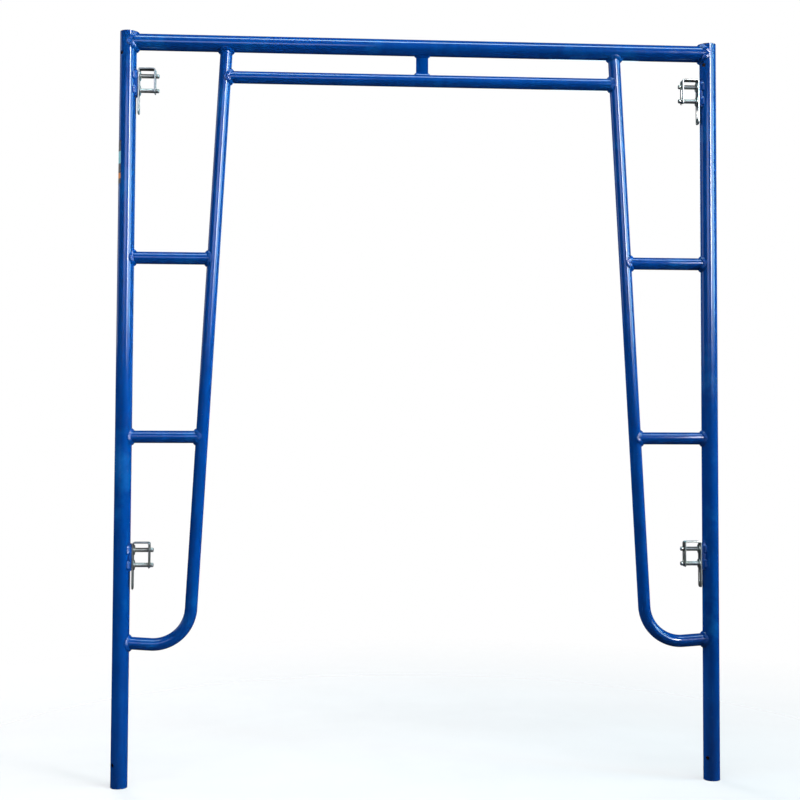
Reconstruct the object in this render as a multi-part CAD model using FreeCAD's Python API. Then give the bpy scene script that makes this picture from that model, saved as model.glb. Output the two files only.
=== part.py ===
import FreeCAD, Part

import math
import os

from FreeCAD import Vector

# Walk-through scaffold end frame, 5 ft wide and 6 ft 4 in tall, in millimetres.
# +Z is up, +X runs along the header and Y is the frame's thin direction.
# The origin is midway between the two feet, on the ground.

INCH = 25.4

# Driving dimensions
LEG_SPACING = 60 * INCH              # between the two leg axes
FRAME_HEIGHT = 76 * INCH
LEG_DIAMETER = 1.6875 * INCH
LEG_WALL = 0.095 * INCH
TUBE_DIAMETER = 1.25 * INCH          # every tube but the legs and the header
TUBE_WALL = 0.08 * INCH
SPACER_WIDTH = 1.25 * INCH           # the flat bar between the header and the lower header
SPACER_THICKNESS = 0.25 * INCH

LEG_RADIUS = LEG_DIAMETER / 2
TUBE_RADIUS = TUBE_DIAMETER / 2
LEG_X = LEG_SPACING / 2

# Levels of the cross tubes, as heights of their axes
HEADER_Z = FRAME_HEIGHT - 26.0
LOWER_HEADER_Z = HEADER_Z - 87.0
UPPER_RUNG_Z = 1343.4
LOWER_RUNG_Z = 883.9

# Inner legs: they lean outwards going down, then bend out to the legs
INNER_LEG_TOP_X = 508.8              # at the header's axis
INNER_LEG_LEAN = math.radians(3.02)
INNER_LEG_BEND_RADIUS = 95.0         # of the tube's axis
FOOT_TUBE_Z = 362.5                  # where the bent foot's axis meets the leg
FOOT_TUBE_RISE = math.radians(4.0)   # the foot runs slightly uphill to the leg

# Cross holes near both ends of each leg, for the coupling pins
PIN_HOLE_RADIUS = 13 / 64 * INCH
PIN_HOLE_FROM_END = 58.0
PIN_HOLE_AXIS = Vector(-1, -1, 0)

# Brace locks: a pair on each leg, 48 in apart
LOCK_SPACING = 48 * INCH
LOWER_LOCK_Z = 577.0
LOCK_LEVELS = {"lower": LOWER_LOCK_Z, "upper": LOWER_LOCK_Z + LOCK_SPACING}
SIDES = {"left": 1, "right": -1}     # the way from that leg to the frame's middle
STUD_PITCH = 1.5 * INCH
GATE_TRAVEL = 44.0

# One lock, measured outwards from the leg's axis
BRACKET_WIDTH = 1.0 * INCH
BRACKET_HEIGHT = 70.0
BRACKET_FACE = 25.7
BRACKET_CHAMFER = 4.0
SHANK_RADIUS = 4.0
SHANK_START = LEG_RADIUS + 0.3
SHANK_HOLE_GAP = 0.05
COLLAR_START = 29.9
COLLAR_END = 32.4
COLLAR_RADIUS = 0.5 * INCH
STUD_RADIUS = 7 / 32 * INCH
NECK_START = 67.1
NECK_END = 71.5
NECK_RADIUS = 3.75
STUD_END = 80.0
STUD_CHAMFER = 1.6
EDGE_CHAMFER = 0.4

# Gate: a flat bar folded into a U that hangs over the top stud
GATE_BAR_WIDTH = 1.0 * INCH
GATE_BAR_THICKNESS = 3.2
GATE_INNER_FACE = 26.2
GATE_OUTER_FACE = 70.9
GATE_TOP = STUD_PITCH / 2 + 20.0     # from the lock's middle
GATE_BEND_RADIUS = 5.5               # outside of the two folds
GATE_TAIL = -STUD_PITCH / 2 - 61.5
GATE_TAIL_ROUND = 8.0
GATE_FORK_END = -STUD_PITCH / 2 - 8.0
GATE_FORK_CHAMFER = 3.0
GATE_SLOT_RADIUS = SHANK_RADIUS + 0.3
FORK_SLOT_RADIUS = NECK_RADIUS + 0.4


def cylinder(start, end, radius):
    """A solid round bar from one point to another."""
    run = end - start
    return Part.makeCylinder(radius, run.Length, start, run)


def straight_tube(start, end, radius, wall):
    """A straight round tube from one point to another."""
    return cylinder(start, end, radius).cut(cylinder(start, end, radius - wall))


def leg_core(side):
    """The solid space that a leg fills, wall and bore together."""
    x = -LEG_X * SIDES[side]
    return cylinder(Vector(x, 0, 0), Vector(x, 0, FRAME_HEIGHT), LEG_RADIUS)


def leg(side):
    """An upright leg, open at both ends, with a cross hole near each end."""
    x = -LEG_X * SIDES[side]
    shape = straight_tube(Vector(x, 0, 0), Vector(x, 0, FRAME_HEIGHT), LEG_RADIUS, LEG_WALL)
    across = Vector(PIN_HOLE_AXIS).normalize() * LEG_DIAMETER
    for height in (PIN_HOLE_FROM_END, FRAME_HEIGHT - PIN_HOLE_FROM_END):
        middle = Vector(x, 0, height)
        shape = shape.cut(cylinder(middle - across, middle + across, PIN_HOLE_RADIUS))
    return shape


def inner_leg_x(height):
    """Distance of an inner leg's straight axis from the frame's middle."""
    return INNER_LEG_TOP_X + (HEADER_Z - height) * math.tan(INNER_LEG_LEAN)


def inner_leg_path(side):
    """The inner leg's axis: a long straight run, one bend and a short foot."""
    down = Vector(math.sin(INNER_LEG_LEAN), 0, -math.cos(INNER_LEG_LEAN))
    out = Vector(math.cos(FOOT_TUBE_RISE), 0, math.sin(FOOT_TUBE_RISE))
    top = Vector(INNER_LEG_TOP_X, 0, HEADER_Z)
    foot = Vector(LEG_X, 0, FOOT_TUBE_Z)
    # where the two straight runs would cross
    gap = foot - top
    along = (gap.x * out.z - gap.z * out.x) / (down.x * out.z - down.z * out.x)
    corner = top + down * along
    turn = math.pi / 2 - INNER_LEG_LEAN + FOOT_TUBE_RISE
    setback = INNER_LEG_BEND_RADIUS * math.tan(turn / 2)
    bend_start = corner - down * setback
    bend_end = corner + out * setback
    inward = (out - down).normalize()
    centre = corner + inward * (INNER_LEG_BEND_RADIUS / math.cos(turn / 2))
    bend_middle = centre - inward * INNER_LEG_BEND_RADIUS
    points = [top, bend_start, bend_middle, bend_end, foot]
    if side == "left":
        points = [Vector(-p.x, p.y, p.z) for p in points]
    top, bend_start, bend_middle, bend_end, foot = points
    return Part.Wire([
        Part.LineSegment(top, bend_start).toShape(),
        Part.Arc(bend_start, bend_middle, bend_end).toShape(),
        Part.LineSegment(bend_end, foot).toShape(),
    ])


def inner_leg_core(side, radius):
    """A round bar of the given radius along the inner leg's axis."""
    path = inner_leg_path(side)
    first = path.Edges[0]
    start = first.valueAt(first.FirstParameter)
    ring = Part.Circle(start, first.tangentAt(first.FirstParameter), radius)
    section = Part.Wire([ring.toShape()])
    return path.makePipeShell([section], True, True)


def header_core():
    """The solid space that the header fills, wall and bore together."""
    return cylinder(Vector(-LEG_X, 0, HEADER_Z), Vector(LEG_X, 0, HEADER_Z), LEG_RADIUS)


def inner_leg(side):
    """A bent tube, coped to the header at its top and to the leg at its foot."""
    shape = inner_leg_core(side, TUBE_RADIUS).cut(inner_leg_core(side, TUBE_RADIUS - TUBE_WALL))
    return shape.cut(header_core()).cut(leg_core(side))


def header_tube():
    """The top cross tube, coped to both legs."""
    start = Vector(-LEG_X, 0, HEADER_Z)
    shape = straight_tube(start, Vector(LEG_X, 0, HEADER_Z), LEG_RADIUS, LEG_WALL)
    return shape.cut(leg_core("left")).cut(leg_core("right"))


def lower_header():
    """The second cross tube, coped to the two inner legs."""
    reach = inner_leg_x(LOWER_HEADER_Z)
    start = Vector(-reach, 0, LOWER_HEADER_Z)
    shape = straight_tube(start, Vector(reach, 0, LOWER_HEADER_Z), TUBE_RADIUS, TUBE_WALL)
    for side in SIDES:
        shape = shape.cut(inner_leg_core(side, TUBE_RADIUS))
    return shape


def spacer_post():
    """The short flat bar that stands between the header and the lower header."""
    shape = Part.makeBox(SPACER_WIDTH, SPACER_THICKNESS, HEADER_Z - LOWER_HEADER_Z,
                         Vector(-SPACER_WIDTH / 2, -SPACER_THICKNESS / 2, LOWER_HEADER_Z))
    middle = Vector(0, 0, LOWER_HEADER_Z)
    reach = Vector(SPACER_WIDTH, 0, 0)
    lower_header_core = cylinder(middle - reach, middle + reach, TUBE_RADIUS)
    return shape.cut(header_core()).cut(lower_header_core)


def rung(side, height):
    """A ladder rung between a leg and its inner leg, coped at both ends."""
    facing = SIDES[side]
    start = Vector(-LEG_X * facing, 0, height)
    end = Vector(-inner_leg_x(height) * facing, 0, height)
    shape = straight_tube(start, end, TUBE_RADIUS, TUBE_WALL)
    return shape.cut(leg_core(side)).cut(inner_leg_core(side, TUBE_RADIUS))


def bracket():
    """The pad that carries the studs: flat in front, hollowed to fit the leg."""
    shape = Part.makeBox(BRACKET_FACE, BRACKET_WIDTH, BRACKET_HEIGHT,
                         Vector(0, -BRACKET_WIDTH / 2, -BRACKET_HEIGHT / 2))
    face_ends = [edge for edge in shape.Edges
                 if abs(edge.CenterOfMass.x - BRACKET_FACE) < 0.01
                 and abs(abs(edge.CenterOfMass.z) - BRACKET_HEIGHT / 2) < 0.01]
    shape = shape.makeChamfer(BRACKET_CHAMFER, face_ends)
    saddle = Part.makeCylinder(LEG_RADIUS, BRACKET_HEIGHT, Vector(0, 0, -BRACKET_HEIGHT / 2))
    shape = shape.cut(saddle)
    for height in (-STUD_PITCH / 2, STUD_PITCH / 2):
        hole = Part.makeCylinder(SHANK_RADIUS + SHANK_HOLE_GAP, BRACKET_FACE,
                                 Vector(0, 0, height), Vector(1, 0, 0))
        shape = shape.cut(hole)
    return shape


def stud(height):
    """A turned stud: shank, collar, round body, neck for the fork, and head."""
    outline = [
        (SHANK_START, 0),
        (SHANK_START, SHANK_RADIUS),
        (COLLAR_START, SHANK_RADIUS),
        (COLLAR_START, COLLAR_RADIUS - EDGE_CHAMFER),
        (COLLAR_START + EDGE_CHAMFER, COLLAR_RADIUS),
        (COLLAR_END - EDGE_CHAMFER, COLLAR_RADIUS),
        (COLLAR_END, COLLAR_RADIUS - EDGE_CHAMFER),
        (COLLAR_END, STUD_RADIUS),
        (NECK_START, STUD_RADIUS),
        (NECK_START, NECK_RADIUS),
        (NECK_END, NECK_RADIUS),
        (NECK_END, STUD_RADIUS),
        (STUD_END - STUD_CHAMFER, STUD_RADIUS),
        (STUD_END, STUD_RADIUS - STUD_CHAMFER),
        (STUD_END, 0),
    ]
    points = [Vector(reach, 0, radius) for reach, radius in outline]
    half_section = Part.Face(Part.makePolygon(points + points[:1]))
    shape = half_section.revolve(Vector(0, 0, 0), Vector(1, 0, 0), 360)
    shape.translate(Vector(0, 0, height))
    return shape


def slot(radius, low, high, from_x, to_x):
    """A round-ended slot that runs up and down, cut through along X."""
    depth = to_x - from_x
    along = Vector(1, 0, 0)
    shape = Part.makeBox(depth, 2 * radius, high - low, Vector(from_x, -radius, low))
    for height in (low, high):
        shape = shape.fuse(Part.makeCylinder(radius, depth, Vector(from_x, 0, height), along))
    return shape


def edges_along_y(shape, height):
    """The edges of a box that run along Y at the given height."""
    return [edge for edge in shape.Edges
            if abs(edge.CenterOfMass.z - height) < 0.01 and abs(edge.CenterOfMass.y) < 0.01]


def edges_along_x(shape, height, half_width):
    """The edges of a box that run along X at the given height, on both sides."""
    return [edge for edge in shape.Edges
            if abs(edge.CenterOfMass.z - height) < 0.01
            and abs(abs(edge.CenterOfMass.y) - half_width) < 0.01]


def gate():
    """The sliding U: a long slotted inner leg, a top and a short forked outer leg."""
    half_width = GATE_BAR_WIDTH / 2
    inner_leg_back = GATE_INNER_FACE + GATE_BAR_THICKNESS
    outer_leg_front = GATE_OUTER_FACE - GATE_BAR_THICKNESS
    outside = Part.makeBox(GATE_OUTER_FACE - GATE_INNER_FACE, GATE_BAR_WIDTH, GATE_TOP - GATE_TAIL,
                           Vector(GATE_INNER_FACE, -half_width, GATE_TAIL))
    outside = outside.makeFillet(GATE_BEND_RADIUS, edges_along_y(outside, GATE_TOP))
    inside_top = GATE_TOP - GATE_BAR_THICKNESS
    inside = Part.makeBox(outer_leg_front - inner_leg_back, 2 * GATE_BAR_WIDTH,
                          inside_top - 2 * GATE_TAIL,
                          Vector(inner_leg_back, -GATE_BAR_WIDTH, 2 * GATE_TAIL))
    inside = inside.makeFillet(GATE_BEND_RADIUS - GATE_BAR_THICKNESS, edges_along_y(inside, inside_top))
    shape = outside.cut(inside)

    # round the inner leg's tail and chamfer the fork's two tips
    tail = Part.makeBox(inner_leg_back - GATE_INNER_FACE, GATE_BAR_WIDTH, GATE_TOP - GATE_TAIL,
                        Vector(GATE_INNER_FACE, -half_width, GATE_TAIL))
    tail = tail.makeFillet(GATE_TAIL_ROUND, edges_along_x(tail, GATE_TAIL, half_width))
    fork = Part.makeBox(GATE_OUTER_FACE - inner_leg_back, GATE_BAR_WIDTH, GATE_TOP - GATE_FORK_END,
                        Vector(inner_leg_back, -half_width, GATE_FORK_END))
    fork = fork.makeChamfer(GATE_FORK_CHAMFER, edges_along_x(fork, GATE_FORK_END, half_width))
    shape = shape.common(tail.fuse(fork))

    # the slots: one clears both shanks over the whole travel, one straddles both necks
    slot_low = -STUD_PITCH / 2 - GATE_TRAVEL
    shank_slot = slot(GATE_SLOT_RADIUS, slot_low, STUD_PITCH / 2,
                      GATE_INNER_FACE - 1, inner_leg_back + 1)
    neck_slot = slot(FORK_SLOT_RADIUS, GATE_FORK_END - 10, STUD_PITCH / 2,
                     outer_leg_front - 1, GATE_OUTER_FACE + 1)
    return shape.cut(shank_slot).cut(neck_slot)


def on_leg(shape, side, height):
    """Carry a lock's piece from its own place to a leg, facing the middle."""
    placed = shape.copy()
    if side == "right":
        placed.rotate(Vector(0, 0, 0), Vector(0, 0, 1), 180)
    placed.translate(Vector(-LEG_X * SIDES[side], 0, height))
    return placed


def lock_nodes():
    """The four brace locks, each a bracket, two studs and a gate."""
    pieces = {
        "bracket": bracket(),
        "guide_stud": stud(STUD_PITCH / 2),
        "brace_stud": stud(-STUD_PITCH / 2),
        "gate": gate(),
    }
    nodes = {}
    for side in SIDES:
        for level, height in LOCK_LEVELS.items():
            for name, shape in pieces.items():
                nodes[f"{side}_{level}_{name}"] = on_leg(shape, side, height)
    return nodes


def frame_nodes():
    """The tubes of the welded frame, and the flat bar between its two headers."""
    nodes = {
        "header_tube": header_tube(),
        "lower_header": lower_header(),
        "spacer_post": spacer_post(),
    }
    for side in SIDES:
        nodes[f"{side}_leg"] = leg(side)
        nodes[f"{side}_inner_leg"] = inner_leg(side)
        nodes[f"{side}_upper_rung"] = rung(side, UPPER_RUNG_Z)
        nodes[f"{side}_lower_rung"] = rung(side, LOWER_RUNG_Z)
    return nodes


def largest_solid(shape):
    """The piece itself, without offcuts that coping leaves inside a mating tube."""
    return max(shape.Solids, key=lambda solid: solid.Volume)


os.makedirs("parts", exist_ok=True)
for node, shape in {**frame_nodes(), **lock_nodes()}.items():
    largest_solid(shape).exportStep(f"parts/{node}.step")
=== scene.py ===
import math
import random

import bmesh
import bpy
from mathutils import Matrix, Vector, noise


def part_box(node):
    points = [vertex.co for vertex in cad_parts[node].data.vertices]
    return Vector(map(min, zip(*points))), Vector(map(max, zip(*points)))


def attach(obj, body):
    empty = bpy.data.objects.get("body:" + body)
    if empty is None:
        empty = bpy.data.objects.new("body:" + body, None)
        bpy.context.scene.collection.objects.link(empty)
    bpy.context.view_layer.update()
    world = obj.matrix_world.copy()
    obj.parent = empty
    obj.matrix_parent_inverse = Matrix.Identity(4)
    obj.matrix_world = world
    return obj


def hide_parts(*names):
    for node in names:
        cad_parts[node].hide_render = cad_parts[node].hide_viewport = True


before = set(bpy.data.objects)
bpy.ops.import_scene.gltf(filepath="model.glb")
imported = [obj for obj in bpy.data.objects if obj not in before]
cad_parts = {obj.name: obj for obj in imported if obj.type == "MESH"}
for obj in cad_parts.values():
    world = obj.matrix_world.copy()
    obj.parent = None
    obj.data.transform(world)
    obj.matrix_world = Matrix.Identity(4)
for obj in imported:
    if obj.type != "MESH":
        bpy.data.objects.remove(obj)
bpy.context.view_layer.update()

# Everything is in metres, in the frame's own axes: X along the header, Y through it, Z up.
MM = 0.001
SIDES = {"left": 1, "right": -1}            # the way from that leg to the frame's middle
LEVELS = ("upper", "lower")
Y_AXIS = Vector((0, 1, 0))
Z_AXIS = Vector((0, 0, 1))

# Read from the CAD nodes
LEG_LOW, LEG_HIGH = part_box("right_leg")
LEG_X = (LEG_LOW.x + LEG_HIGH.x) / 2
LEG_RADIUS = (LEG_HIGH.y - LEG_LOW.y) / 2
FRAME_HEIGHT = LEG_HIGH.z
HEADER_Z = sum(corner.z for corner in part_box("header_tube")) / 2
LOWER_HEADER_Z = sum(corner.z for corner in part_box("lower_header")) / 2
UPPER_RUNG_Z = sum(corner.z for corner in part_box("left_upper_rung")) / 2
LOWER_RUNG_Z = sum(corner.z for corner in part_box("left_lower_rung")) / 2
TUBE_RADIUS = (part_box("lower_header")[1].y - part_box("lower_header")[0].y) / 2

# The same sizes as the CAD model's
LEG_WALL = 2.41 * MM
TUBE_WALL = 2.03 * MM
INNER_LEG_TOP_X = 508.8 * MM                # at the header's axis
INNER_LEG_LEAN = math.radians(3.02)
INNER_LEG_BEND_RADIUS = 95 * MM
FOOT_TUBE_Z = 362.5 * MM                    # where the bent foot's axis meets the leg
FOOT_TUBE_RISE = math.radians(4.0)
PIN_HOLE_RADIUS = 5.16 * MM
PIN_HOLE_FROM_END = 58 * MM
PIN_HOLE_HEADING = math.radians(45)         # from the X axis
STUD_PITCH = 38.1 * MM
LOWER_LOCK_Z = 577 * MM
LOCK_SPACING = 1219.2 * MM
LOCK_LEVELS = {"lower": LOWER_LOCK_Z, "upper": LOWER_LOCK_Z + LOCK_SPACING}
BRACKET_WIDTH = 25.4 * MM
SPACER_WIDTH = 31.75 * MM                   # the flat bar between the header and the lower header
SPACER_THICKNESS = 6.35 * MM

# Mesh fineness
AROUND = 64                                 # sides of a tube
RING_SPACING = 60 * MM
BEND_RINGS = 28
LIP = 0.5 * MM                              # rounding of a cut tube end
LIP_STEPS = 3
SHARP = math.radians(35)                    # edges that turn more than this are real edges
FLAT = math.radians(0.5)                    # faces that turn less than this are one face
MERGE_GAP = 0.01 * MM                       # vertices closer than this are one
ROUND_WALL = 0.97                           # a leg's face is round wall if it faces the axis this well
COPE_GAP = 4 * MM                           # how far a tube's path stops short of its neighbour
COPE_DEPTH = 0.6 * MM                       # how far a coped end sinks into its neighbour's wall

# Rounding of edges
SPACER_BEVEL = 0.8 * MM
BRACKET_BEVEL = 0.6 * MM
STUD_BEVEL = 0.25 * MM
GATE_BEVEL = 0.45 * MM
BEVEL_SEGMENTS = 2

# Weld beads. A bead's leg is its reach along each of the two surfaces that it joins.
HEADER_BEAD = 7 * MM
TUBE_BEAD = 6 * MM
BRACKET_BEAD = 5.5 * MM
SPACER_BEAD = 5.3 * MM
BEAD_PITCH = 3.2 * MM                       # one ripple
BEAD_SIZE = 0.95                            # smallest leg in a ripple, as a share of the nominal leg
RIPPLE_SIZE = 0.03                          # how much a ripple adds to that share
DRIFT_SIZE = 0.10                           # how much the welder's hand adds or takes
BEAD_CROWN = 0.10                           # rise of a bead's face, as a share of its leg
RIPPLE_CROWN = 0.035                        # how much a ripple adds to the rise
BEAD_ROOT = 1.0 * MM                        # how far a bead reaches under both surfaces
BEAD_FACETS = 10                            # across a bead's face
BEAD_CEILING = FRAME_HEIGHT - 0.6 * MM      # the header's beads stop just below the legs' rims
BEAD_SHARP = math.radians(60)
SEAM_ROUNDING = 4 * MM                      # softens a seam's points where two tubes are equally thick
SEAM_STATIONS = 300                         # places along the bead round a tube's end
SEAM_SPREAD = 5                             # how many places either side set the bead's direction
STITCH_LENGTH = 24 * MM                     # the beads beside a bracket
STITCH_STEPS = 60
STITCH_TAPER = 3                            # full size is reached 1/3 of the way to its middle
STITCH_TIP = 0.06                           # its size at its very ends, as a share, squared
SPACER_STEP = 0.4 * MM                      # between places along a bead round the spacer bar
BAR_CORNER = 1.5 * MM                       # how far such a bead rounds off the bar's corners
CORNER_STEPS = 10

# Finish
PAINTED_RIM = 0.8                           # share of a leg's wall that is painted at its rims
RIM_WEAR = 5 * MM                           # how far paint is chipped back from a leg's ends
RIM_CHIPPING = 0.24                         # how much more readily it chips there
OVERSPRAY_REACH = 30 * MM                   # how far paint dust reaches into a leg's ends
LABEL_LOW = 1533 * MM
LABEL_HIGH = 1645 * MM
LABEL_WIDTH = 38 * MM
LABEL_THICKNESS = 0.15 * MM
LABEL_SUNK = 0.3 * MM                       # its underside, below the leg's surface
LABEL_FACETS = 24
LABEL_PALE_BLOCK = (1584 * MM, 1616 * MM)
LABEL_ORANGE_BLOCK = (1546 * MM, 1560 * MM)
PRINT_BLUR = 0.4 * MM                       # width of a printed block's soft edge
PRINT_RAGGED = 0.6 * MM                     # how far that edge wanders

# Studio
FLOOR_RADIUS = 2.2
FLOOR_FADE = 0.85                           # where it starts to fade
FLOOR_SIDES = 96
FLOOR_PALE = (0.80, 0.75, 0.74)
FLOOR_PALER = (0.84, 0.79, 0.78)
FLOOR_REFLECTED = (0.05, 0.05, 0.05)        # its colour in reflections and as light
GROUND_LIGHT = (0.010, 0.010, 0.012)        # what the frame reflects from below the horizon
SKY_LIGHT = (0.035, 0.07, 0.09)             # and from above it
WALL_Y = -5.0                               # tall windows in a wall behind the camera
WINDOWS = {                                 # left edge, right edge, head, radiance
    "lavender": (-2.8, 0.0, 3.05, (2.2, 2.5, 3.7)),
    "white": (2.40, 2.90, 3.9, (58, 57, 62)),
    "pale": (2.90, 9.0, 3.9, (5.0, 7.4, 9.2)),
}
PANES = {                                   # foot of each pane, share of the window's brightness
    "foot": (1.35, 0.20),
    "low": (1.65, 0.55),
    "high": (1.98, 1.0),
}
CAMERA_PLACE = (-0.2678, -3.3647, 0.9412)
CAMERA_YAW = math.radians(-3.623)
CAMERA_PITCH = math.radians(2.442)
CAMERA_ROLL = math.radians(0.244)
CAMERA_SENSOR = 36                          # mm wide
CAMERA_LENS = 58.5                          # mm
CAMERA_SHIFT = -0.05                        # as a share of the picture's width


# ---------------------------------------------------------------- mesh helpers

def linked(name, data):
    """A new object in the scene."""
    obj = bpy.data.objects.new(name, data)
    bpy.context.scene.collection.objects.link(obj)
    return obj


def new_mesh(bm, name):
    """A mesh made from a bmesh, which is used up."""
    mesh = bpy.data.meshes.new(name)
    bm.to_mesh(mesh)
    bm.free()
    return mesh


def new_piece(name, mesh, body, finish, replaced=()):
    """A visible piece that rides on a body, in place of the CAD nodes it replaces."""
    obj = linked(name, mesh)
    mesh.materials.append(finish)
    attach(obj, body)
    if replaced:
        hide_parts(*replaced)


def finish_bmesh(bm, name, smooth_angle=SHARP):
    """Turn a bmesh into a mesh with outward normals, smooth but for its real edges."""
    bmesh.ops.recalc_face_normals(bm, faces=bm.faces)
    for face in bm.faces:
        face.smooth = True
    for edge in bm.edges:
        if len(edge.link_faces) == 2 and edge.calc_face_angle(0) > smooth_angle:
            edge.smooth = False
    return new_mesh(bm, name)


def bridge_rings(bm, rings, closed=False):
    """Join a list of equal rings of vertices with quads."""
    pairs = list(zip(rings, rings[1:]))
    if closed:
        pairs.append((rings[-1], rings[0]))
    for ring, other in pairs:
        count = len(ring)
        for i in range(count):
            j = (i + 1) % count
            bm.faces.new((ring[i], ring[j], other[j], other[i]))


# ---------------------------------------------------------------- tubes

class Mate:
    """The round tube that another tube is coped to: a point on its axis and its direction."""

    def __init__(self, point, direction, radius):
        self.point = Vector(point)
        self.direction = Vector(direction).normalized()
        self.across = self.direction.cross(Y_AXIS)
        self.radius = radius

    def meet(self, start, run, radius):
        """Where a line, from start along run, first meets a tube of some radius on this axis."""
        offset = (start - self.point).dot(self.across)
        reach = math.sqrt(max(radius ** 2 - start.y ** 2, 0))
        return start + run * ((math.copysign(reach, offset) - offset) / run.dot(self.across))

    def normal(self, place):
        """The tube's outward normal beside a place on its surface."""
        offset = (place - self.point).dot(self.across)
        return (self.across * offset + Y_AXIS * place.y).normalized()


def straight_path(start, end):
    """Points along a straight axis, evenly spaced."""
    start, end = Vector(start), Vector(end)
    steps = max(2, round((end - start).length / RING_SPACING))
    return [start.lerp(end, i / steps) for i in range(steps + 1)]


def path_tangents(path):
    """The direction of a path at each of its points."""
    last = len(path) - 1
    return [(path[min(i + 1, last)] - path[max(i - 1, 0)]).normalized() for i in range(last + 1)]


def ring_points(centre, tangent, radius):
    """Points round a path whose axis lies in the frame's XZ plane."""
    across = tangent.cross(Y_AXIS)
    turns = [2 * math.pi * i / AROUND for i in range(AROUND)]
    return [centre + (across * math.cos(t) + Y_AXIS * math.sin(t)) * radius for t in turns]


def tube_surface(bm, path, radius, mates):
    """One surface of a tube as rings of vertices, with each end coped to its mate, if any."""
    tangents = path_tangents(path)
    rings = []
    for i, (centre, tangent) in enumerate(zip(path, tangents)):
        points = ring_points(centre, tangent, radius)
        mate = mates[0] if i == 0 else mates[1] if i == len(path) - 1 else None
        if mate is not None:
            points = [mate.meet(p, tangent, mate.radius - COPE_DEPTH) for p in points]
        rings.append([bm.verts.new(p) for p in points])
    return rings


def lip_rings(bm, centre, outward, radius, wall):
    """The rounded rim of a square-cut tube end, from the outside to the inside."""
    rings = []
    for edge_radius, sign in ((radius, -1), (radius - wall, 1)):
        for k in range(LIP_STEPS + 1):
            turn = math.pi / 2 * (k if sign < 0 else LIP_STEPS - k) / LIP_STEPS
            r = edge_radius + sign * LIP * (1 - math.cos(turn))
            place = centre - outward * LIP * (1 - math.sin(turn))
            rings.append([bm.verts.new(p) for p in ring_points(place, Z_AXIS, r)])
    return rings


def coped_tube(name, path, radius, wall, mates):
    """A tube with both ends coped: outside, inside and the two cut ends."""
    bm = bmesh.new()
    outside = tube_surface(bm, path, radius, mates)
    inside = tube_surface(bm, path, radius - wall, mates)
    bridge_rings(bm, outside)
    bridge_rings(bm, inside)
    bridge_rings(bm, [outside[0], inside[0]])
    bridge_rings(bm, [outside[-1], inside[-1]])
    return finish_bmesh(bm, name)


def inner_leg_path():
    """The right inner leg's axis from the header down, round its bend and out to the leg.

    It stops short of both neighbours, and the coping takes the tube the rest of the way."""
    down = Vector((math.sin(INNER_LEG_LEAN), 0, -math.cos(INNER_LEG_LEAN)))
    out = Vector((math.cos(FOOT_TUBE_RISE), 0, math.sin(FOOT_TUBE_RISE)))
    top = Vector((INNER_LEG_TOP_X, 0, HEADER_Z))
    foot = Vector((LEG_X, 0, FOOT_TUBE_Z))
    gap = foot - top
    along = (gap.x * out.z - gap.z * out.x) / (down.x * out.z - down.z * out.x)
    corner = top + down * along
    turn = math.pi / 2 - INNER_LEG_LEAN + FOOT_TUBE_RISE
    setback = INNER_LEG_BEND_RADIUS * math.tan(turn / 2)
    bend_start = corner - down * setback
    foot_start = corner + out * setback
    centre = corner + (out - down).normalized() * (INNER_LEG_BEND_RADIUS / math.cos(turn / 2))
    spoke = bend_start - centre
    bend = [centre + Matrix.Rotation(-turn * i / BEND_RINGS, 3, "Y") @ spoke
            for i in range(BEND_RINGS + 1)]
    header_side = top + down * (LEG_RADIUS + COPE_GAP)
    leg_side = foot - out * (LEG_RADIUS + COPE_GAP)
    foot_run = [foot_start.lerp(leg_side, 0.5), leg_side]
    return straight_path(header_side, bend_start) + bend[1:] + foot_run


def mirrored(path, side):
    """A path made for the right-hand side, carried to the given side."""
    return [Vector((-p.x if side == "left" else p.x, p.y, p.z)) for p in path]


def header_mate():
    return Mate((0, 0, HEADER_Z), (1, 0, 0), LEG_RADIUS)


def leg_mate(side):
    return Mate((-LEG_X * SIDES[side], 0, 0), (0, 0, 1), LEG_RADIUS)


def inner_leg_x(height):
    """Distance of an inner leg's straight axis from the frame's middle."""
    return INNER_LEG_TOP_X + (HEADER_Z - height) * math.tan(INNER_LEG_LEAN)


def inner_leg_mate(side, height):
    x = -inner_leg_x(height) * SIDES[side]
    lean = math.sin(INNER_LEG_LEAN) * SIDES[side]
    return Mate((x, 0, height), (lean, 0, math.cos(INNER_LEG_LEAN)), TUBE_RADIUS)


def leg_mesh(side):
    """An upright leg with rounded rims and two cross holes."""
    x = -LEG_X * SIDES[side]
    foot = Vector((x, 0, 0))
    top = Vector((x, 0, FRAME_HEIGHT))
    bm = bmesh.new()
    path = straight_path(foot + Z_AXIS * LIP, top - Z_AXIS * LIP)
    heights = sorted({p.z for p in path[1:-1]})
    top_lip = lip_rings(bm, top, Z_AXIS, LEG_RADIUS, LEG_WALL)
    foot_lip = lip_rings(bm, foot, -Z_AXIS, LEG_RADIUS, LEG_WALL)
    outside, inside = ([[bm.verts.new(p) for p in ring_points(Vector((x, 0, z)), Z_AXIS, radius)]
                        for z in heights] for radius in (LEG_RADIUS, LEG_RADIUS - LEG_WALL))
    bridge_rings(bm, foot_lip[::-1] + outside + top_lip + inside[::-1], closed=True)
    mesh = finish_bmesh(bm, f"{side}_leg_tube")
    cut_away(mesh, pin_holes(x))
    set_round_normals(mesh, x)
    return mesh


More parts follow.
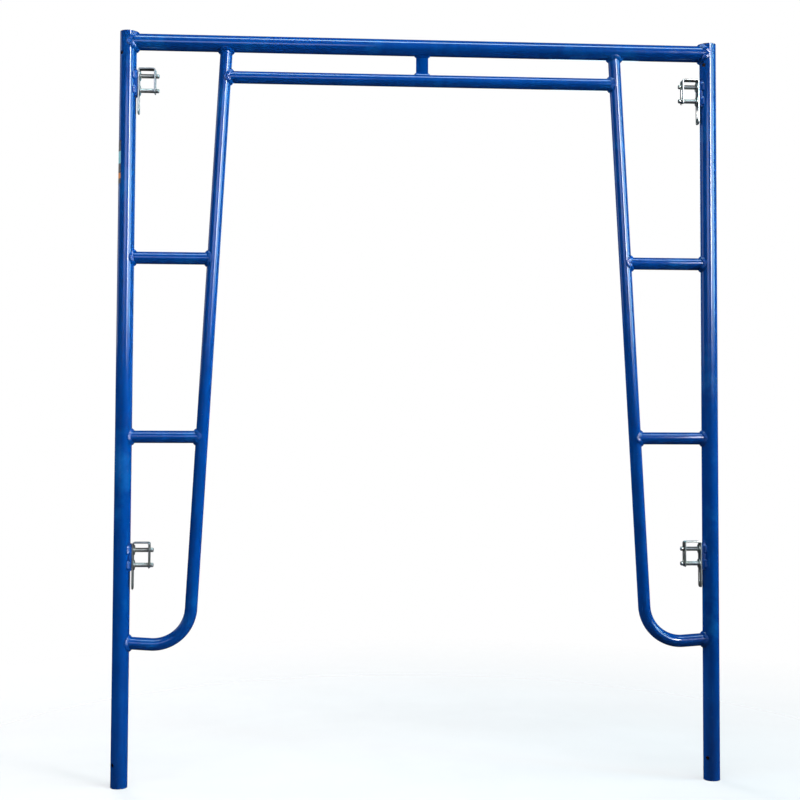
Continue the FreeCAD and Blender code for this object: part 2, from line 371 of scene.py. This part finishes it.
def pin_holes(x):
    """The two cross holes of a leg, as rods to cut it with."""
    bm = bmesh.new()
    tilt = Matrix.Rotation(PIN_HOLE_HEADING, 4, "Z") @ Matrix.Rotation(math.pi / 2, 4, "Y")
    for z in (PIN_HOLE_FROM_END, FRAME_HEIGHT - PIN_HOLE_FROM_END):
        bmesh.ops.create_cone(bm, cap_ends=True, segments=AROUND // 2, radius1=PIN_HOLE_RADIUS,
                              radius2=PIN_HOLE_RADIUS, depth=LEG_RADIUS * 3,
                              matrix=Matrix.Translation((x, 0, z)) @ tilt)
    return new_mesh(bm, "drill")


def cut_away(mesh, cutter):
    """Cut one mesh out of another, without leaving slivers round the cut."""
    blank = linked("blank", mesh)
    tool = linked("tool", cutter)
    cut = blank.modifiers.new("cut", "BOOLEAN")
    cut.operation = "DIFFERENCE"
    cut.solver = "EXACT"
    cut.object = tool
    result = bpy.data.meshes.new_from_object(blank.evaluated_get(bpy.context.evaluated_depsgraph_get()))
    bm = bmesh.new()
    bm.from_mesh(result)
    bmesh.ops.dissolve_degenerate(bm, edges=bm.edges, dist=MERGE_GAP)
    bmesh.ops.triangulate(bm, faces=[face for face in bm.faces if len(face.verts) > 4])
    bmesh.ops.dissolve_degenerate(bm, edges=bm.edges, dist=MERGE_GAP)
    bm.to_mesh(mesh)
    bm.free()
    bpy.data.objects.remove(blank)
    bpy.data.objects.remove(tool)
    bpy.data.meshes.remove(result)


def set_round_normals(mesh, x):
    """Shade an upright tube's walls as true cylinders, and its holes and rims as they are."""
    normals = []
    for face in mesh.polygons:
        for loop in face.loop_indices:
            place = mesh.vertices[mesh.loops[loop].vertex_index].co
            radial = Vector((place.x - x, place.y, 0)).normalized()
            facing = face.normal.dot(radial)
            on_wall = abs(facing) > ROUND_WALL
            normals.append(radial * math.copysign(1, facing) if on_wall else face.normal.copy())
    for face in mesh.polygons:
        face.use_smooth = True
    mesh.normals_split_custom_set(normals)


# ---------------------------------------------------------------- weld beads

def bead_section(place, along_a, along_b, outward, leg, crown):
    """A fillet bead's section: toes at leg from the root along both surfaces, and a rounded face."""
    first = place + along_a * leg
    last = place + along_b * leg
    middle = (first + last) / 2 + outward * leg * crown * 2
    face = [first * (1 - t) ** 2 + middle * 2 * t * (1 - t) + last * t ** 2
            for t in (i / BEAD_FACETS for i in range(BEAD_FACETS + 1))]
    sunk = -outward * BEAD_ROOT
    section = face + [last + sunk, place + sunk * 1.5, first + sunk]
    for point in section:
        point.z = min(point.z, BEAD_CEILING)
    return section


def end_taper(along):
    """A stitch bead's size, as a share of its full size, from one end at 0 to the other at 1."""
    from_end = min(along, 1 - along) * 2
    return math.sqrt(max(STITCH_TIP, min(1, from_end * STITCH_TAPER)))


def bead_mesh(name, stations, leg, closed):
    """A softly rippled bead along stations of (place, along_a, along_b, outward)."""
    rng = random.Random(name)
    distance = rng.uniform(0, BEAD_PITCH)
    wander = rng.uniform(0, 100)
    bm = bmesh.new()
    rings = []
    count = len(stations)
    for i, (place, along_a, along_b, outward) in enumerate(stations):
        if i:
            distance += (place - stations[i - 1][0]).length
        ripple = 0.5 - 0.5 * math.cos(2 * math.pi * distance / BEAD_PITCH)
        drift = noise.noise(Vector((wander, distance / (4 * BEAD_PITCH), 0)))
        size = leg * (BEAD_SIZE + RIPPLE_SIZE * ripple + DRIFT_SIZE * drift)
        if not closed:
            size *= end_taper(i / (count - 1))
        crown = BEAD_CROWN + RIPPLE_CROWN * ripple
        section = bead_section(place, along_a, along_b, outward, size, crown)
        rings.append([bm.verts.new(p) for p in section])
    bridge_rings(bm, rings, closed)
    if not closed:
        bm.faces.new(rings[0])
        bm.faces.new(rings[-1])
    return finish_bmesh(bm, name, BEAD_SHARP)


def joint_stations(end, tangent, radius, mate):
    """Stations of a bead round a tube's end, where the tube meets its mate.

    tangent points along the tube towards the mate. The bead rounds off the points that the
    seam has in front and behind where both tubes are equally thick."""
    across = tangent.cross(Y_AXIS)
    rounded = math.hypot(mate.radius, SEAM_ROUNDING)
    places = []
    radials = []
    for i in range(SEAM_STATIONS):
        turn = 2 * math.pi * i / SEAM_STATIONS
        radial = across * math.cos(turn) + Y_AXIS * math.sin(turn)
        places.append(mate.meet(end + radial * radius, tangent, rounded))
        radials.append(radial)
    stations = []
    for i in range(SEAM_STATIONS):
        run = (places[(i + SEAM_SPREAD) % SEAM_STATIONS] - places[i - SEAM_SPREAD]).normalized()
        mate_normal = mate.normal(places[i])
        along_tube = radials[i].cross(run).normalized()
        if along_tube.dot(tangent) > 0:
            along_tube.negate()
        along_mate = mate_normal.cross(run).normalized()
        if along_mate.dot(along_tube) > 0.5 or along_mate.dot(radials[i] + tangent * 0.5) < 0:
            along_mate.negate()
        outward = (radials[i] + mate_normal).normalized()
        stations.append((places[i], along_tube, along_mate, outward))
    return stations


# ---------------------------------------------------------------- materials

def material(name):
    """An empty node material and its shader."""
    made = bpy.data.materials.new(name)
    made.use_nodes = True
    made.node_tree.nodes.clear()
    shader = made.node_tree.nodes.new("ShaderNodeBsdfPrincipled")
    output = made.node_tree.nodes.new("ShaderNodeOutputMaterial")
    made.node_tree.links.new(shader.outputs["BSDF"], output.inputs["Surface"])
    return made, shader


class Nodes:
    """Short calls for the few kinds of node that the finishes use."""

    def __init__(self, owner, coords="Object"):
        self.tree = owner.node_tree
        self.coords = self.tree.nodes.new("ShaderNodeTexCoord").outputs[coords]

    def link(self, output, target):
        self.tree.links.new(output, target)

    def noise(self, scale, detail, rough=0.5, stretch=(1, 1, 1)):
        """Noise in object space; scale is in features per metre."""
        mapping = self.tree.nodes.new("ShaderNodeMapping")
        mapping.inputs["Scale"].default_value = stretch
        self.link(self.coords, mapping.inputs["Vector"])
        node = self.tree.nodes.new("ShaderNodeTexNoise")
        node.inputs["Scale"].default_value = scale
        node.inputs["Detail"].default_value = detail
        node.inputs["Roughness"].default_value = rough
        self.link(mapping.outputs["Vector"], node.inputs["Vector"])
        return node.outputs["Fac"]

    def ramp(self, value, low, high, from_value=0.0, to_value=1.0):
        """Stretch a value between low and high onto another range, clamped."""
        node = self.tree.nodes.new("ShaderNodeMapRange")
        node.inputs["From Min"].default_value = low
        node.inputs["From Max"].default_value = high
        node.inputs["To Min"].default_value = from_value
        node.inputs["To Max"].default_value = to_value
        self.link(value, node.inputs["Value"])
        return node.outputs["Result"]

    def math(self, operation, a, b):
        """A sum on two values, each an output or a plain number."""
        node = self.tree.nodes.new("ShaderNodeMath")
        node.operation = operation
        for socket, value in zip(node.inputs, (a, b)):
            if isinstance(value, (int, float)):
                socket.default_value = value
            else:
                self.link(value, socket)
        return node.outputs["Value"]

    def mix(self, factor, first, second):
        """Blend two colours, each an output or a plain colour."""
        node = self.tree.nodes.new("ShaderNodeMix")
        node.data_type = "RGBA"
        self.link(factor, node.inputs["Factor"])
        for socket, value in ((node.inputs[6], first), (node.inputs[7], second)):
            if isinstance(value, tuple):
                socket.default_value = (*value, 1)
            else:
                self.link(value, socket)
        return node.outputs[2]

    def xyz(self):
        """The three coordinates, each on its own."""
        split = self.tree.nodes.new("ShaderNodeSeparateXYZ")
        self.link(self.coords, split.inputs["Vector"])
        return split.outputs

    def seen_directly(self):
        """1 where the camera looks straight at this, 0 in reflections and as light."""
        return self.tree.nodes.new("ShaderNodeLightPath").outputs["Is Camera Ray"]

    def bump(self, value, distance, strength, below=None):
        """Relief from a value, on top of the relief below it, if any."""
        node = self.tree.nodes.new("ShaderNodeBump")
        node.inputs["Distance"].default_value = distance
        node.inputs["Strength"].default_value = strength
        self.link(value, node.inputs["Height"])
        if below is not None:
            self.link(below, node.inputs["Normal"])
        return node.outputs["Normal"]


PAINT = (0.0003, 0.041, 0.224)
PAINT_DEEP = (0.0002, 0.034, 0.186)
PAINT_LIGHT = (0.0004, 0.056, 0.264)
PAINT_WORN = (0.004, 0.095, 0.330)
DUST = (0.30, 0.33, 0.36)
BARE_STEEL = (0.24, 0.24, 0.25)
RUST = (0.115, 0.036, 0.013)
MILL_SCALE = (0.035, 0.034, 0.036)


def leg_ends(n, reach, strength):
    """A value that falls from strength at both ends of the legs to 0 a reach away from them."""
    height = n.xyz()["Z"]
    return n.math("MAXIMUM", n.ramp(height, 0, reach, strength, 0),
                  n.ramp(height, FRAME_HEIGHT - reach, FRAME_HEIGHT, 0, strength))


def paint_marks(n):
    """Where blue paint is hazed, scratched, dusty and chipped, the last mostly at the legs' ends."""
    haze = n.ramp(n.noise(5.5, detail=6, rough=0.6), 0.56, 0.70, 0, 0.75)
    handled = n.ramp(n.noise(6, detail=2), 0.48, 0.66, 0, 0.10)
    streaks = n.noise(330, detail=2, stretch=(1, 1, 0.035))
    scratches = n.ramp(n.math("ADD", streaks, handled), 0.74, 0.78, 0, 0.5)
    dust = n.ramp(n.noise(160, detail=6, rough=0.7), 0.60, 0.82, 0, 0.05)
    flakes = n.noise(230, detail=5, rough=0.62)
    chips = n.ramp(n.math("ADD", flakes, leg_ends(n, RIM_WEAR, RIM_CHIPPING)), 0.725, 0.74)
    return haze, scratches, dust, chips


def paint_colour(n, haze, scratches, dust, chips):
    """Blue with slow flow and thicker runs, under its marks."""
    flow = n.ramp(n.noise(7, detail=4), 0.35, 0.65)
    thick = n.ramp(n.noise(45, detail=2, stretch=(1, 1, 0.25)), 0.45, 0.75, 0, 0.6)
    metal = n.mix(n.ramp(n.noise(320, detail=4), 0.42, 0.60), BARE_STEEL, RUST)
    colour = n.mix(flow, PAINT_DEEP, PAINT)
    for mark, shade in ((thick, PAINT_LIGHT), (haze, PAINT_WORN), (scratches, PAINT_WORN),
                        (dust, DUST), (chips, metal)):
        colour = n.mix(mark, colour, shade)
    return colour


def paint_relief(n, scratches, chips):
    """Orange peel, slow waves, scratches and the edges of chips."""
    peel = n.bump(n.noise(420, detail=2), 0.12 * MM, 0.18)
    waves = n.bump(n.noise(60, detail=1), 0.3 * MM, 0.2, below=peel)
    cut = n.bump(n.math("SUBTRACT", 1.0, scratches), 0.04 * MM, 0.5, below=waves)
    return n.bump(n.math("SUBTRACT", 1.0, chips), 0.15 * MM, 0.8, below=cut)


def blue_paint(name, dulling=0.0, specular=0.6):
    """Worn blue enamel: gloss, or duller where dulling is added to its roughness."""
    made, shader = material(name)
    n = Nodes(made)
    haze, scratches, dust, chips = paint_marks(n)
    n.link(paint_colour(n, haze, scratches, dust, chips), shader.inputs["Base Color"])
    rough = n.ramp(n.noise(30, detail=5), 0.3, 0.7, 0.07 + dulling, 0.13 + dulling)
    for mark, extra in ((haze, 0.07), (scratches, 0.25), (dust, 1.2), (chips, 0.3)):
        rough = n.math("ADD", rough, n.math("MULTIPLY", mark, extra))
    n.link(rough, shader.inputs["Roughness"])
    n.link(n.math("MULTIPLY", chips, 0.6), shader.inputs["Metallic"])
    n.link(paint_relief(n, scratches, chips), shader.inputs["Normal"])
    shader.inputs["Specular IOR Level"].default_value = specular
    return made


def raw_bore():
    """The unpainted inside of a tube: mill scale with rust bloom and overspray."""
    made, shader = material("raw_bore")
    n = Nodes(made)
    colour = n.mix(n.ramp(n.noise(60, detail=6, rough=0.65), 0.42, 0.62), MILL_SCALE, RUST)
    patches = n.ramp(n.noise(140, detail=4), 0.38, 0.60)
    overspray = n.math("MULTIPLY", leg_ends(n, OVERSPRAY_REACH, 1), patches)
    n.link(n.mix(overspray, colour, PAINT_DEEP), shader.inputs["Base Color"])
    n.link(n.ramp(n.noise(200, detail=4), 0.3, 0.7, 0.55, 0.8), shader.inputs["Roughness"])
    n.link(n.bump(n.noise(500, detail=5), 0.2 * MM, 0.6), shader.inputs["Normal"])
    return made


LABEL_DARK = (0.030, 0.016, 0.020)
LABEL_PALE = (0.22, 0.50, 0.58)
LABEL_ORANGE = (0.62, 0.20, 0.03)


def label_print():
    """A worn blank sticker: a dark ground with one pale and one orange block, and no writing."""
    made, shader = material("label_print")
    n = Nodes(made)
    wander = n.ramp(n.noise(260, detail=4), 0.3, 0.7, -PRINT_RAGGED, PRINT_RAGGED)
    ragged = n.math("ADD", n.xyz()["Z"], wander)
    faded = n.ramp(n.noise(70, detail=5), 0.40, 0.75, 0, 0.35)
    colour = n.mix(faded, LABEL_DARK, DUST)
    for (low, high), ink in ((LABEL_PALE_BLOCK, LABEL_PALE), (LABEL_ORANGE_BLOCK, LABEL_ORANGE)):
        block = n.math("MULTIPLY", n.ramp(ragged, low, low + PRINT_BLUR),
                       n.ramp(ragged, high, high + PRINT_BLUR, 1, 0))
        colour = n.mix(block, colour, ink)
    scuffs = n.ramp(n.noise(190, detail=6, rough=0.65), 0.62, 0.66, 0, 0.8)
    n.link(n.mix(scuffs, colour, PAINT_WORN), shader.inputs["Base Color"])
    n.link(n.ramp(n.noise(120, detail=4), 0.3, 0.7, 0.28, 0.5), shader.inputs["Roughness"])
    n.link(n.bump(n.noise(350, detail=3), 0.08 * MM, 0.4), shader.inputs["Normal"])
    return made


ZINC = (0.55, 0.54, 0.50)
ZINC_DARK = (0.36, 0.36, 0.33)
ZINC_YELLOW = (0.56, 0.50, 0.36)
ZINC_GREEN = (0.42, 0.48, 0.40)
GRIME = (0.06, 0.05, 0.04)


def zinc_plate():
    """Dull zinc plating with faint yellow and green passivation, scuffs and grime."""
    made, shader = material("zinc_plate")
    n = Nodes(made)
    colour = n.mix(n.ramp(n.noise(120, detail=5), 0.35, 0.68), ZINC, ZINC_DARK)
    colour = n.mix(n.ramp(n.noise(55, detail=2), 0.52, 0.75, 0, 0.55), colour, ZINC_YELLOW)
    green = n.ramp(n.noise(40, detail=2, stretch=(1.3, 1, 0.7)), 0.55, 0.8, 0, 0.5)
    colour = n.mix(green, colour, ZINC_GREEN)
    grime = n.ramp(n.noise(90, detail=6, rough=0.6), 0.60, 0.80, 0, 0.5)
    colour = n.mix(grime, colour, GRIME)
    n.link(colour, shader.inputs["Base Color"])
    shader.inputs["Metallic"].default_value = 0.92
    rough = n.ramp(n.noise(120, detail=4), 0.3, 0.7, 0.28, 0.42)
    n.link(n.math("ADD", rough, n.math("MULTIPLY", grime, 0.4)), shader.inputs["Roughness"])
    scuffs = n.bump(n.noise(900, detail=3, stretch=(1, 1, 0.15)), 0.06 * MM, 0.5)
    n.link(n.bump(n.noise(200, detail=4), 0.12 * MM, 0.4, below=scuffs), shader.inputs["Normal"])
    return made


# ---------------------------------------------------------------- pieces

blue = blue_paint("blue_paint")
dull_blue = blue_paint("dull_blue_paint", 0.40, 0.2)   # on the brackets
flat_blue = blue_paint("flat_blue_paint", 0.40, 0.0)   # on the spacer bar
zinc = zinc_plate()
bore = raw_bore()


def painted(name, mesh, *replaced, paint=blue):
    new_piece(name, mesh, "frame", paint, replaced)


def plated(name, mesh, body, node):
    new_piece(name, mesh, body, zinc, (node,))


def build_legs():
    """Both legs, painted outside and raw inside."""
    for side, facing in SIDES.items():
        mesh = leg_mesh(side)
        painted(f"{side}_leg_tube", mesh, f"{side}_leg")
        mesh.materials.append(bore)
        for face in mesh.polygons:
            from_axis = math.hypot(face.center.x + LEG_X * facing, face.center.y)
            if from_axis < LEG_RADIUS - PAINTED_RIM * LEG_WALL:
                face.material_index = 1


def build_label():
    """The sticker on the outside of the left leg, below its upper lock."""
    radius = LEG_RADIUS + LABEL_THICKNESS
    bm = bmesh.new()
    columns = []
    for i in range(LABEL_FACETS + 1):
        turn = math.pi + (i / LABEL_FACETS - 0.5) * LABEL_WIDTH / LEG_RADIUS
        columns.append([(-LEG_X + r * math.cos(turn), r * math.sin(turn))
                        for r in (radius, LEG_RADIUS - LABEL_SUNK)])
    rings = [[bm.verts.new((*outer, LABEL_LOW)), bm.verts.new((*outer, LABEL_HIGH)),
              bm.verts.new((*inner, LABEL_HIGH)), bm.verts.new((*inner, LABEL_LOW))]
             for outer, inner in columns]
    bridge_rings(bm, rings)
    bm.faces.new(rings[0])
    bm.faces.new(rings[-1])
    label = linked("left_leg_label", finish_bmesh(bm, "left_leg_label"))
    label.data.materials.append(label_print())
    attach(label, "frame")


def build_tube(node, path, radius, wall, mates):
    """A coped tube in place of a CAD node."""
    name = f"{node}_fine"
    painted(name, coped_tube(name, path, radius, wall, mates), node)


def build_cross_tubes():
    """The header, the lower header and the ladder rungs."""
    reach = LEG_X - LEG_RADIUS - COPE_GAP
    path = straight_path((-reach, 0, HEADER_Z), (reach, 0, HEADER_Z))
    mates = (leg_mate("left"), leg_mate("right"))
    build_tube("header_tube", path, LEG_RADIUS, LEG_WALL, mates)
    weld_tube("header", path, LEG_RADIUS, mates, HEADER_BEAD)

    reach = inner_leg_x(LOWER_HEADER_Z) - TUBE_RADIUS - COPE_GAP
    path = straight_path((-reach, 0, LOWER_HEADER_Z), (reach, 0, LOWER_HEADER_Z))
    mates = (inner_leg_mate("left", LOWER_HEADER_Z), inner_leg_mate("right", LOWER_HEADER_Z))
    build_tube("lower_header", path, TUBE_RADIUS, TUBE_WALL, mates)
    weld_tube("lower_header", path, TUBE_RADIUS, mates, TUBE_BEAD)

    for side in SIDES:
        for level, height in (("upper", UPPER_RUNG_Z), ("lower", LOWER_RUNG_Z)):
            build_rung(side, level, height)


def build_rung(side, level, height):
    """A ladder rung between a leg and its inner leg."""
    facing = SIDES[side]
    start = (-(LEG_X - LEG_RADIUS - COPE_GAP) * facing, 0, height)
    end = (-(inner_leg_x(height) + TUBE_RADIUS + COPE_GAP) * facing, 0, height)
    path = straight_path(start, end)
    mates = (leg_mate(side), inner_leg_mate(side, height))
    name = f"{side}_{level}_rung"
    build_tube(name, path, TUBE_RADIUS, TUBE_WALL, mates)
    weld_tube(name, path, TUBE_RADIUS, mates, TUBE_BEAD)


def build_inner_legs():
    """Both inner legs, from the header to the legs."""
    for side in SIDES:
        path = mirrored(inner_leg_path(), side)
        mates = (header_mate(), leg_mate(side))
        name = f"{side}_inner_leg"
        build_tube(name, path, TUBE_RADIUS, TUBE_WALL, mates)
        weld_tube(name, path, TUBE_RADIUS, mates, TUBE_BEAD)


def weld_tube(name, path, radius, mates, leg):
    """A bead round each end of a coped tube."""
    ends = (("start", path[0], (path[0] - path[1]).normalized(), mates[0]),
            ("end", path[-1], (path[-1] - path[-2]).normalized(), mates[1]))
    for which, end, tangent, mate in ends:
        bead = f"{name}_weld_{which}"
        stations = joint_stations(end, tangent, radius, mate)
        painted(bead, bead_mesh(bead, stations, leg, closed=True))


def bevelled_copy(node, name, width):
    """A copy of a CAD node's mesh with its sharp edges slightly rounded."""
    bm = bmesh.new()
    bm.from_mesh(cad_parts[node].data)
    bmesh.ops.remove_doubles(bm, verts=bm.verts, dist=MERGE_GAP)
    bmesh.ops.dissolve_limit(bm, angle_limit=FLAT, verts=bm.verts, edges=bm.edges)
    sharp = [e for e in bm.edges if len(e.link_faces) == 2 and e.calc_face_angle(0) > SHARP]
    bmesh.ops.bevel(bm, geom=sharp, offset=width, offset_type="OFFSET", segments=BEVEL_SEGMENTS,
                    profile=0.5, affect="EDGES", clamp_overlap=True)
    return finish_bmesh(bm, name)


def build_locks():
    """Brackets, studs and gates of the four brace locks."""
    for side in SIDES:
        for level in LEVELS:
            lock = f"{side}_{level}"
            bracket = f"{lock}_bracket"
            pad = f"{bracket}_pad"
            painted(pad, bevelled_copy(bracket, pad, BRACKET_BEVEL), bracket, paint=dull_blue)
            for stud in (f"{lock}_guide_stud", f"{lock}_brace_stud"):
                turned = f"{stud}_turned"
                plated(turned, bevelled_copy(stud, turned, STUD_BEVEL), "frame", stud)
            gate = f"{lock}_gate"
            bar = f"{gate}_bar"
            plated(bar, bevelled_copy(gate, bar, GATE_BEVEL), f"{gate}_body", gate)
            weld_bracket(side, level)


def heading(angle):
    """A level direction, at an angle from the X axis."""
    return Vector((math.cos(angle), math.sin(angle), 0))


def bar_outline():
    """Places round the spacer bar's section with its corners rounded, each with the way it faces."""
    corner_x = SPACER_WIDTH / 2 - BAR_CORNER
    corner_y = SPACER_THICKNESS / 2 - BAR_CORNER
    outline = []
    for quarter, (x, y) in enumerate(((1, 1), (-1, 1), (-1, -1), (1, -1))):
        centre = Vector((x * corner_x, y * corner_y, 0))
        for i in range(CORNER_STEPS):
            facing = math.pi / 2 * (quarter + i / CORNER_STEPS)
            outline.append((centre + BAR_CORNER * heading(facing), facing))
        facing = math.pi / 2 * (quarter + 1)
        side = (SPACER_THICKNESS if quarter % 2 else SPACER_WIDTH) - 2 * BAR_CORNER
        steps = round(side / SPACER_STEP)
        start = centre + BAR_CORNER * heading(facing)
        onward = heading(facing + math.pi / 2) * side
        outline += [(start + onward * (i / steps), facing) for i in range(steps)]
    return outline


def bar_stations(axis_z, radius, along_bar):
    """Stations of a bead round the spacer bar, where it meets a header of this radius and height."""
    stations = []
    for place, facing in bar_outline():
        tube_normal = Vector((0, place.y, along_bar.z * math.sqrt(radius ** 2 - place.y ** 2)))
        place = Vector((place.x, 0, axis_z)) + tube_normal
        tube_normal.normalize()
        way_out = heading(facing)
        along_tube = (way_out - tube_normal * way_out.dot(tube_normal)).normalized()
        stations.append((place, along_bar, along_tube, (along_bar + along_tube).normalized()))
    return stations


def build_spacer():
    """The flat bar between the two headers, with a bead round each end."""
    bar = "spacer_post_bar"
    painted(bar, bevelled_copy("spacer_post", bar, SPACER_BEVEL), "spacer_post", paint=flat_blue)
    ends = (("top", bar_stations(HEADER_Z, LEG_RADIUS, -Z_AXIS)),
            ("bottom", bar_stations(LOWER_HEADER_Z, TUBE_RADIUS, Z_AXIS)))
    for which, stations in ends:
        bead = f"spacer_post_weld_{which}"
        painted(bead, bead_mesh(bead, stations, SPACER_BEAD, closed=True))


def stitch_stations(facing, y_side, middle_z):
    """Stations of an upright bead in the corner between a bracket's edge and its leg."""
    half = BRACKET_WIDTH / 2
    depth = math.sqrt(LEG_RADIUS ** 2 - half ** 2)
    corner = Vector((-LEG_X * facing + depth * facing, half * y_side, middle_z))
    inward = Vector((facing, 0, 0))
    radial = Vector((depth * facing, half * y_side, 0)).normalized()
    round_leg = Vector((-radial.y, radial.x, 0))
    if round_leg.y * y_side < 0:
        round_leg.negate()
    outward = (inward + round_leg).normalized()
    rises = [(i / STITCH_STEPS - 0.5) * STITCH_LENGTH for i in range(STITCH_STEPS + 1)]
    return [(corner + Z_AXIS * rise, inward, round_leg, outward) for rise in rises]


def weld_bracket(side, level):
    """Short stitch welds down both edges of a bracket, one beside each stud."""
    for where, y_side in (("front", -1), ("back", 1)):
        for which, offset in (("top", STUD_PITCH / 2), ("bottom", -STUD_PITCH / 2)):
            stations = stitch_stations(SIDES[side], y_side, LOCK_LEVELS[level] + offset)
            bead = f"{side}_{level}_bracket_weld_{where}_{which}"
            painted(bead, bead_mesh(bead, stations, BRACKET_BEAD, closed=False))


# ---------------------------------------------------------------- studio

def area_light(name, place, target, width, height, power, colour=(1, 1, 1)):
    """A rectangular softbox aimed at a point, out of the camera's sight."""
    data = bpy.data.lights.new(name, "AREA")
    data.shape = "RECTANGLE"
    data.size = width
    data.size_y = height
    data.energy = power
    data.color = colour
    lamp = linked(name, data)
    lamp.visible_camera = False
    lamp.location = place
    lamp.rotation_euler = (Vector(target) - Vector(place)).to_track_quat("-Z", "Y").to_euler()
    return lamp


def fill_light(*values):
    """A softbox that shades the frame but isn't seen in its gloss."""
    lamp = area_light(*values)
    lamp.visible_glossy = False
    return lamp


def fading_floor():
    """Seamless pale studio paper that fades out towards its rim, and throws little light back up."""
    made = bpy.data.materials.new("studio_floor")
    made.use_nodes = True
    n = Nodes(made)
    shader = made.node_tree.nodes["Principled BSDF"]
    colour = n.mix(n.ramp(n.noise(3, detail=3), 0.3, 0.7), FLOOR_PALE, FLOOR_PALER)
    n.link(n.mix(n.seen_directly(), FLOOR_REFLECTED, colour), shader.inputs["Base Color"])
    shader.inputs["Roughness"].default_value = 0.9
    distance = made.node_tree.nodes.new("ShaderNodeVectorMath")
    distance.operation = "LENGTH"
    n.link(n.coords, distance.inputs[0])
    fade = n.ramp(distance.outputs["Value"], FLOOR_FADE, FLOOR_RADIUS, 0.5, 0)
    n.link(fade, shader.inputs["Alpha"])
    return made


def studio_world():
    """A white surround. As a light it is dark below the horizon and dim above it."""
    world = bpy.data.worlds.new("studio_world")
    world.use_nodes = True
    n = Nodes(world, "Generated")
    light = n.mix(n.ramp(n.xyz()["Z"], -0.02, 0.04), GROUND_LIGHT, SKY_LIGHT)
    surround = n.mix(n.seen_directly(), light, (1, 1, 1))
    n.link(surround, n.tree.nodes["Background"].inputs["Color"])
    bpy.context.scene.world = world


def window(name, left, right, head, radiance):
    """A window that is dim at its foot, and is seen only as streaks in the gloss."""
    level = max(radiance)
    colour = [part / level for part in radiance]
    feet = [foot for foot, share in PANES.values()]
    for (pane, (foot, share)), top in zip(PANES.items(), [*feet[1:], head]):
        middle = Vector(((left + right) / 2, WALL_Y, (foot + top) / 2))
        power = level * share * math.pi * (right - left) * (top - foot)
        lamp = area_light(f"window_{name}_{pane}", middle, middle - Y_AXIS * WALL_Y,
                          right - left, top - foot, power, colour)
        lamp.visible_diffuse = False


def build_floor():
    """A round floor under the frame."""
    bm = bmesh.new()
    bmesh.ops.create_circle(bm, cap_ends=True, segments=FLOOR_SIDES, radius=FLOOR_RADIUS)
    mesh = new_mesh(bm, "studio_floor")
    floor = linked("studio_floor", mesh)
    mesh.materials.append(fading_floor())


def build_lights():
    """The windows, then each lamp's place, target, width, height, power in watts and colour."""
    for name, values in WINDOWS.items():
        window(name, *values)
    area_light("strip_right", (4.0, -1.5, 2.55), (0, 0, 2.3), 0.30, 2.2, 60, (0.35, 0.85, 1.0))
    area_light("overhead", (0, -0.9, 4.2), (0, 0, 1.0), 4.5, 0.5, 92, (0.60, 0.88, 1.0))
    area_light("rim_left", (-4.5, 1.8, 2.2), (0, 0, 1.4), 2.0, 1.8, 12)
    area_light("rim_right", (4.5, 2.4, 2.0), (0, 0, 1.2), 1.6, 2.4, 9, (0.25, 0.65, 1.0))
    area_light("back_strip", (1.6, 5.5, 2.4), (0, 0, 1.3), 0.6, 2.6, 24, (0.3, 0.7, 1.0))
    fill_light("overhead_fill", (0.3, -2.0, 4.4), (0, 0, 1.4), 3.0, 1.0, 60)
    fill_light("back_fill", (-2.6, 5.0, 1.6), (0, 0, 1.0), 2.5, 2.5, 300)
    fill_light("fill_left", (-6.5, 0.5, 1.4), (0, 0, 1.1), 2.0, 2.5, 170)
    fill_light("fill_right", (7.5, -1.4, 1.3), (0, 0, 0.9), 2.0, 3.0, 520)
    fill_light("fill_front", (-2.4, -2.4, 0.6), (-0.7, 0, 0.7), 1.0, 1.6, 26)
    # narrow, and aimed past the left leg, so that it lights that leg the most
    fill_cross = fill_light("fill_cross", (3.4, -3.4, 2.2), (-0.9, 0, 1.1), 1.0, 1.0, 14)
    fill_cross.data.spread = math.radians(40)


def build_camera():
    """The camera that gives the object its size, place and perspective in the picture."""
    data = bpy.data.cameras.new("camera")
    data.sensor_width = CAMERA_SENSOR
    data.lens = CAMERA_LENS
    data.shift_y = CAMERA_SHIFT
    camera = linked("camera", data)
    turn = (Matrix.Rotation(CAMERA_YAW, 4, "Z") @ Matrix.Rotation(math.pi / 2 + CAMERA_PITCH, 4, "X")
            @ Matrix.Rotation(CAMERA_ROLL, 4, "Z"))
    camera.matrix_world = Matrix.Translation(CAMERA_PLACE) @ turn
    bpy.context.scene.camera = camera


build_legs()
build_label()
build_cross_tubes()
build_inner_legs()
build_spacer()
build_locks()
build_floor()
studio_world()
build_lights()
build_camera()
bpy.context.scene.view_settings.view_transform = "Standard"
